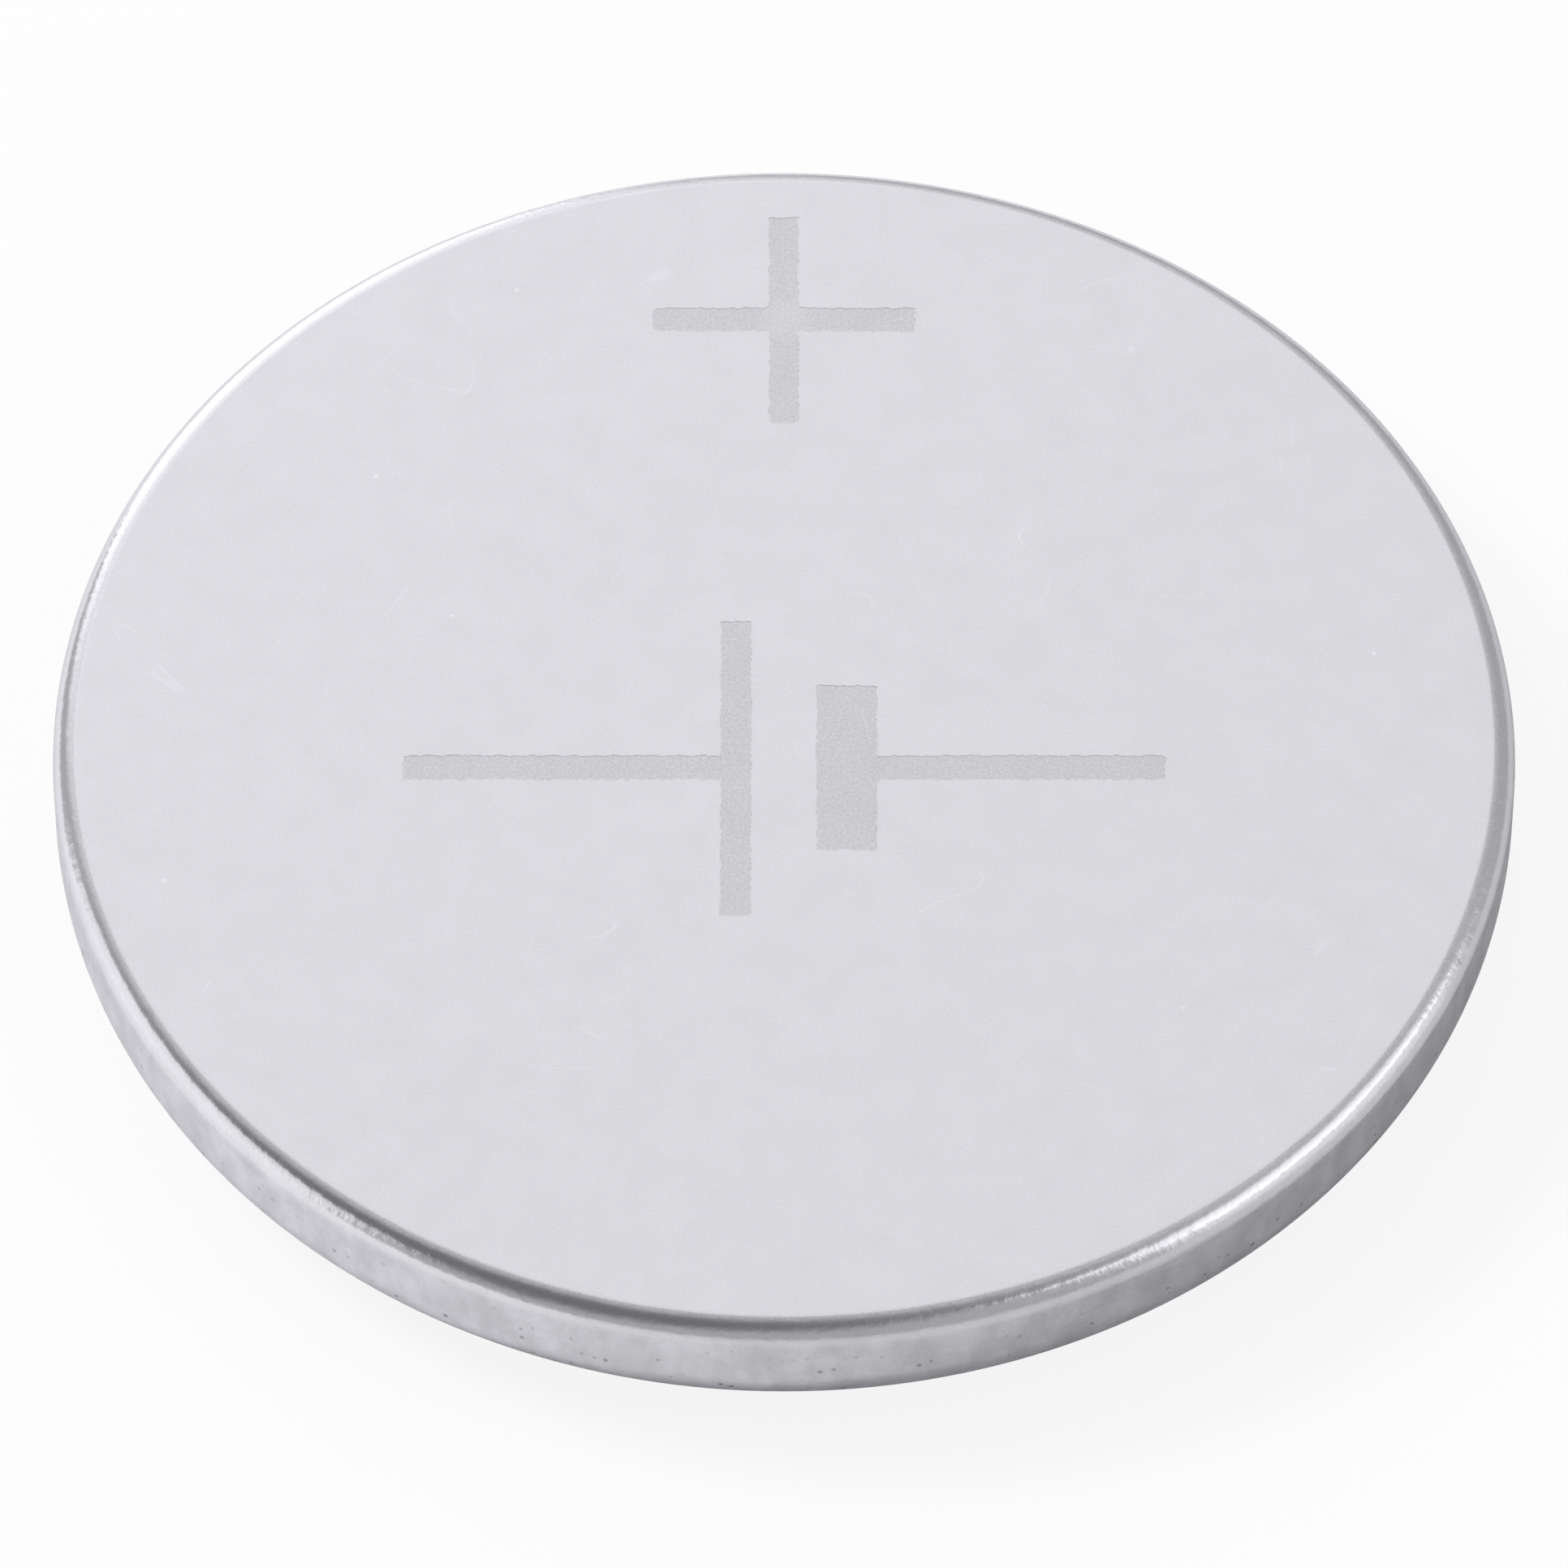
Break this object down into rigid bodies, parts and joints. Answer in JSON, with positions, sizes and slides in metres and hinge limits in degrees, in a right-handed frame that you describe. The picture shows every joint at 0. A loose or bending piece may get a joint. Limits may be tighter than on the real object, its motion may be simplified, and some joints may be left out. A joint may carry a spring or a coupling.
{
  "type": "lithium coin cell",
  "caption": "Flat round lithium coin cell in a satin steel can, its curled rim crimped over a plastic gasket onto a stepped negative cap.",
  "frame": {"origin": "centre of the flat negative face, which is the lowest point of the cell", "axes": "+Z along the axis of the cell, from the negative face to the positive face; the plus sign lies towards +Y"},
  "size_m": [0.02, 0.02, 0.0025],
  "materials": {
    "can_steel": "satin stainless steel with a fine grain",
    "cap_steel": "satin stainless steel",
    "gasket_plastic": "translucent natural polypropylene",
    "pellet": "matt pressed powder",
    "mesh_steel": "bright expanded steel",
    "separator_felt": "matt non-woven polypropylene",
    "lithium": "dull soft metal"
  },
  "bodies": {
    "root": {"positive_can": "can_steel", "negative_cap": "cap_steel", "gasket": "gasket_plastic", "cathode_pellet": "pellet", "collector_mesh": "mesh_steel", "separator": "separator_felt", "lithium_anode": "lithium"}
  },
  "joints": []
}
